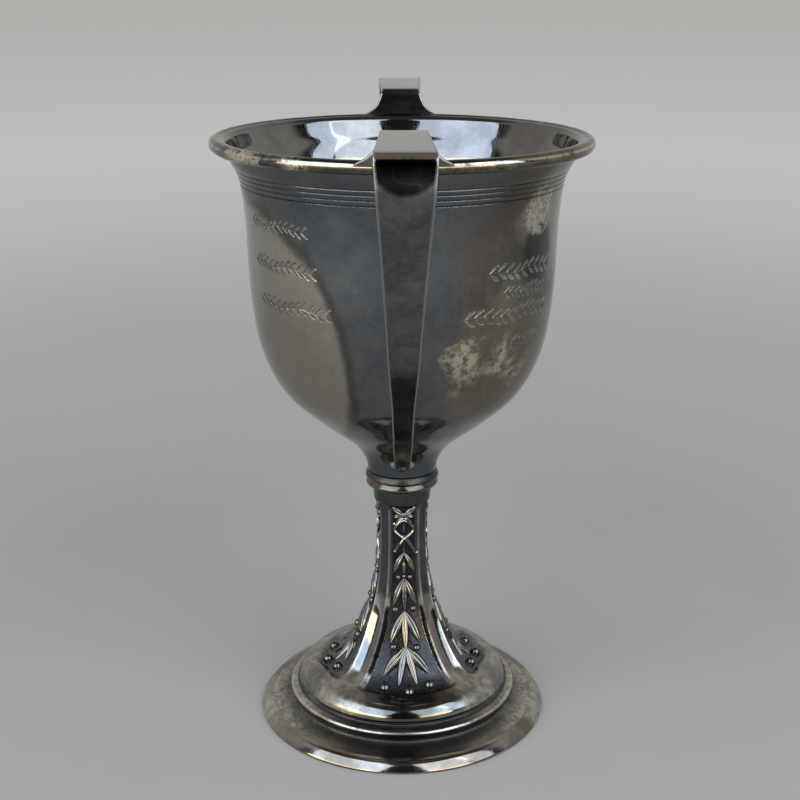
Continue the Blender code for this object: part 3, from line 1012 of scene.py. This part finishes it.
def build_looks():
    bowl_metal = silver(
        "bowl_tarnished_silver",
        (0.105, 0.116, 0.13),
        (0.135, 0.138, 0.142),
        (0.54, 0.49, 0.385),
        0.10,
        worn=0.74,
        regions=[
            ((50, -30, 160), 60, (0.10, 0.088, 0.074)),
            ((38, -37, 131), 38, (0.20, 0.175, 0.135)),
            ((46, -20, 178), 26, (0.25, 0.23, 0.195)),
            ((42, -29, 166), 13, (0.035, 0.033, 0.03)),
        ],
        patches=[((20, -43, 135), 20, 0.76), ((40, -29, 180), 14, 0.92), ((33, -35, 132), 32, 0.54)],
        # Painted reflection: a paler patch on the bowl's left, where the room's light is reflected, with a
        # painted dark shade line round it.
        painted_light_patch=((-60, 0, 124), (45, 400, 60), (0.33, 0.305, 0.262)),
        polish=((0, 0, 92), 36),
        mottle=0.2,
    )
    rim_metal = silver(
        "rim_worn_brass",
        (0.10, 0.095, 0.085),
        (0.19, 0.152, 0.10),
        (0.66, 0.60, 0.50),
        0.09,
        cloud=60,
        worn=0.66,
        regions=[((52, -27, 197), 22, (0.17, 0.125, 0.06)), ((58, 4, 197), 12, (0.03, 0.028, 0.026))],
        patches=[((-46, -37, 196), 27, 0.74), ((-30, -50, 196), 13, 0.62), ((44, -38, 196), 18, 0.35)],
        grain=1.9,
        mottle=0.7,
    )
    handle_metal = silver(
        "handle_dark_silver",
        (0.115, 0.12, 0.124),
        (0.155, 0.157, 0.152),
        (0.4, 0.39, 0.37),
        0.12,
        cloud=45,
        worn=0.75,
        # Painted reflection: near black on the front handle's outer top end, where the dark room in front of
        # the cup is reflected.
        painted_light_patch=((0, -104, 204.5), (8.6, 9, 8.6), (0.012, 0.012, 0.014)),
        rubbed=(0.34, 0.345, 0.35),
        mottle=0.45,
    )
    collar_metal = silver(
        "collar_worn_silver",
        (0.115, 0.107, 0.092),
        (0.17, 0.145, 0.12),
        (0.6, 0.54, 0.47),
        0.15,
        cloud=50,
        worn=0.68,
    )
    stem_metal = silver(
        "stem_oxidised_silver",
        (0.24, 0.25, 0.26),
        (0.27, 0.245, 0.21),
        (0.50, 0.47, 0.41),
        0.08,
        worn=0.76,
        # Painted shade darkens the upper stem under the bowl, with a painted dark line round it; the dark
        # place at the front of the dome is a painted reflection of the dark room in front, and the matte,
        # lighter patches on the dome's shoulders are painted sheen where the room's light is reflected.
        painted_light_patch=((0, 0, 95), (60, 60, 50), (0.085, 0.09, 0.095)),
        regions=[((2, -31, 15), 14, (0.12, 0.112, 0.105))],
        matte_painted_sheen=[((-22, -24, 15), 19), ((25, -20, 15), 17), ((-32, 6, 15), 22), ((32, 6, 15), 22)],
        polish=((0, -16, 34), 24),
        mottle=0.3,
    )
    cut_metal = silver(
        "engraved_bright_cut",
        (0.33, 0.32, 0.30),
        (0.28, 0.265, 0.24),
        (0.5, 0.48, 0.45),
        0.16,
        cloud=60,
        worn=0.6,
    )
    leaf_metal = silver(
        "garland_silver",
        (0.125, 0.13, 0.137),
        (0.17, 0.155, 0.135),
        (0.6, 0.58, 0.53),
        0.07,
        cloud=60,
        worn=0.7,
    )
    foot_metal = silver(
        "foot_dull_silver",
        (0.21, 0.20, 0.185),
        (0.27, 0.245, 0.21),
        (0.62, 0.59, 0.52),
        0.15,
        cloud=30,
        worn=0.74,
        # The dark place at the front of the flange is a painted reflection of the dark room in front; the
        # matte, lighter patches at its sides and back are painted sheen where the room's light is reflected.
        regions=[((0, -40, 5), 30, (0.11, 0.105, 0.105))],
        matte_painted_sheen=[((-44, -8, 4), 36), ((45, -6, 4), 36), ((0, 46, 4), 36)],
        grain=1.7,
        mottle=0.4,
    )
    edge_metal = silver(
        "foot_edge_silver",
        (0.37, 0.345, 0.31),
        (0.20, 0.165, 0.13),
        (0.6, 0.56, 0.5),
        0.08,
        cloud=55,
        worn=0.74,
        # Matte, lighter patches of painted sheen at the wire's left and right, where the room's light is
        # reflected.
        matte_painted_sheen=[((-48, -6, 2), 24), ((48, -6, 2), 24)],
    )
    solder_metal = silver(
        "solder_silver",
        (0.42, 0.42, 0.41),
        (0.34, 0.34, 0.33),
        (0.6, 0.6, 0.58),
        0.06,
        mottle=0.1,
    )

    finish_piece(build_bowl(), bowl_metal, "bowl_silver", "bowl")
    finish_piece(build_engraving(), cut_metal, "bowl_silver")
    finish_piece(build_rim(), rim_metal, "rim_silver", "rim_wire")
    finish_piece(build_handle("cup_handle_front", 1), handle_metal, "handle_silver", "handle_front")
    finish_piece(build_handle("cup_handle_back", -1), handle_metal, "handle_silver", "handle_back")
    finish_piece(build_solder(), solder_metal, "handle_silver")
    finish_piece(build_collar(), collar_metal, "collar_silver", "collar")
    upper = build_stem_part("stem_upper", SEAM_HEIGHT + 0.05, COLLAR_BOTTOM - 0.05)
    finish_piece(upper, stem_metal, "stem_silver", "stem_sleeve")
    lower = build_stem_part("stem_pedestal", STEM_SHAPE[0][1], SEAM_HEIGHT - 0.05)
    finish_piece(lower, stem_metal, "stem_silver", "pedestal")
    finish_piece(build_garlands(), leaf_metal, "stem_silver")
    finish_piece(build_foot_plate(), foot_metal, "foot_silver", "foot_plate")
    finish_piece(build_foot_wire(), edge_metal, "foot_silver", "foot_wire")

    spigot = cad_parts["stem_spigot"]
    spigot_metal = silver("spigot_brass", (0.5, 0.38, 0.2), (0.42, 0.3, 0.15), (0.7, 0.55, 0.3), 0.35)
    spigot.data.materials.clear()
    spigot.data.materials.append(spigot_metal)


# Stage: floor, lights and camera


def build_floor():
    size = 16000  # half its width, in millimetres
    corners = [(-size, -size, 0), (size, -size, 0), (size, size, 0), (-size, size, 0)]
    floor = mesh_object("floor", corners, [(0, 1, 2, 3)])
    material, n = new_material("pale_floor")
    n.shader.inputs["Metallic"].default_value = 0.0
    n.shader.inputs["Roughness"].default_value = 0.85
    soft = n.times(n.noise(9.0, 4.0, 0.6), 0.04)
    pale = n.mix(n.steps(n.length(), 0.15, 1.6), (0.262, 0.250, 0.236), (0.62, 0.615, 0.60))
    pale = n.mix(soft, pale, (1.0, 1.0, 1.0))
    # In reflections the floor ends some way in front.
    dark = n.times(n.glossy_ray(), n.steps(n.axis("Y"), -1.35, -1.65))
    n.link(n.mix(dark, pale, (0.05, 0.05, 0.055)), n.shader.inputs["Base Color"])
    floor.data.materials.append(material)


COOL_LIGHT = (0.66, 0.80, 1.0)
LIGHT_DISTANCE = 1.6
LIGHTS = [
    # name, azimuth from the camera's side towards +X, elevation, width, height, colour, power
    ("window_left", -46, 36, 1.6, 1.15, COOL_LIGHT, 19),
    ("window_left_low", -46, 9, 1.75, 0.42, (1.0, 0.86, 0.60), 12),
    ("window_right", 36, 36, 0.95, 1.15, (0.74, 0.86, 1.0), 12),
    ("window_right_low", 36, 9, 1.0, 0.42, (1.0, 0.84, 0.56), 7),
    ("window_far_right", 64, 33, 0.5, 1.45, COOL_LIGHT, 7),
]


def add_light(name, azimuth, elevation, width, height, color, power):
    """A soft rectangular light aimed at the cup."""
    lamp = bpy.data.lights.new(name, "AREA")
    lamp.shape = "RECTANGLE"
    lamp.size = width
    lamp.size_y = height
    lamp.color = color
    lamp.energy = power
    obj = bpy.data.objects.new(name, lamp)
    a, e = math.radians(azimuth), math.radians(elevation)
    out = Vector((math.sin(a) * math.cos(e), -math.cos(a) * math.cos(e), math.sin(e)))
    obj.location = out * LIGHT_DISTANCE + Vector((0, 0, 0.1))
    obj.rotation_mode = "QUATERNION"
    obj.rotation_quaternion = out.to_track_quat("Z", "Y")
    bpy.context.scene.collection.objects.link(obj)


def build_world():
    world = bpy.data.worlds.new("studio")
    bpy.context.scene.world = world
    world.use_nodes = True
    n = Nodes(world.node_tree, "Background", "Generated")
    room = n.mix(n.steps(n.axis("Y"), -0.20, -0.02), (0.035, 0.033, 0.035), (0.46, 0.455, 0.44))
    room = n.mix(n.steps(n.axis("Z"), 0.72, 0.85), room, (0.13, 0.115, 0.10))
    # Metal reflects the room, and all else sees an even pale sky.
    n.link(n.mix(n.glossy_ray(), (0.70, 0.70, 0.695), room), n.shader.inputs["Color"])
    n.shader.inputs["Strength"].default_value = 1.0


# The photograph's angle
CAMERA_REACH = 0.43886  # from the cup's axis, in metres
CAMERA_HEIGHT = 0.251919
CAMERA_DOWN = 0.3111  # radians, 17.8 degrees
CAMERA_TURN = math.radians(0.5)


def build_camera():
    camera = bpy.data.objects.new("camera", bpy.data.cameras.new("camera"))
    bpy.context.scene.collection.objects.link(camera)
    x, y = -CAMERA_REACH * math.sin(CAMERA_TURN), -CAMERA_REACH * math.cos(CAMERA_TURN)
    camera.location = (x, y, CAMERA_HEIGHT)
    camera.rotation_euler = (math.pi / 2 - CAMERA_DOWN, 0, -CAMERA_TURN)
    camera.data.sensor_width = 36.0
    camera.data.lens = 62.72
    camera.data.shift_x = -0.0025
    camera.data.clip_start = 0.01
    camera.data.clip_end = 100
    bpy.context.scene.camera = camera


build_looks()
build_floor()
build_world()
for light in LIGHTS:
    add_light(*light)
build_camera()
bpy.context.scene.view_settings.view_transform = "Standard"
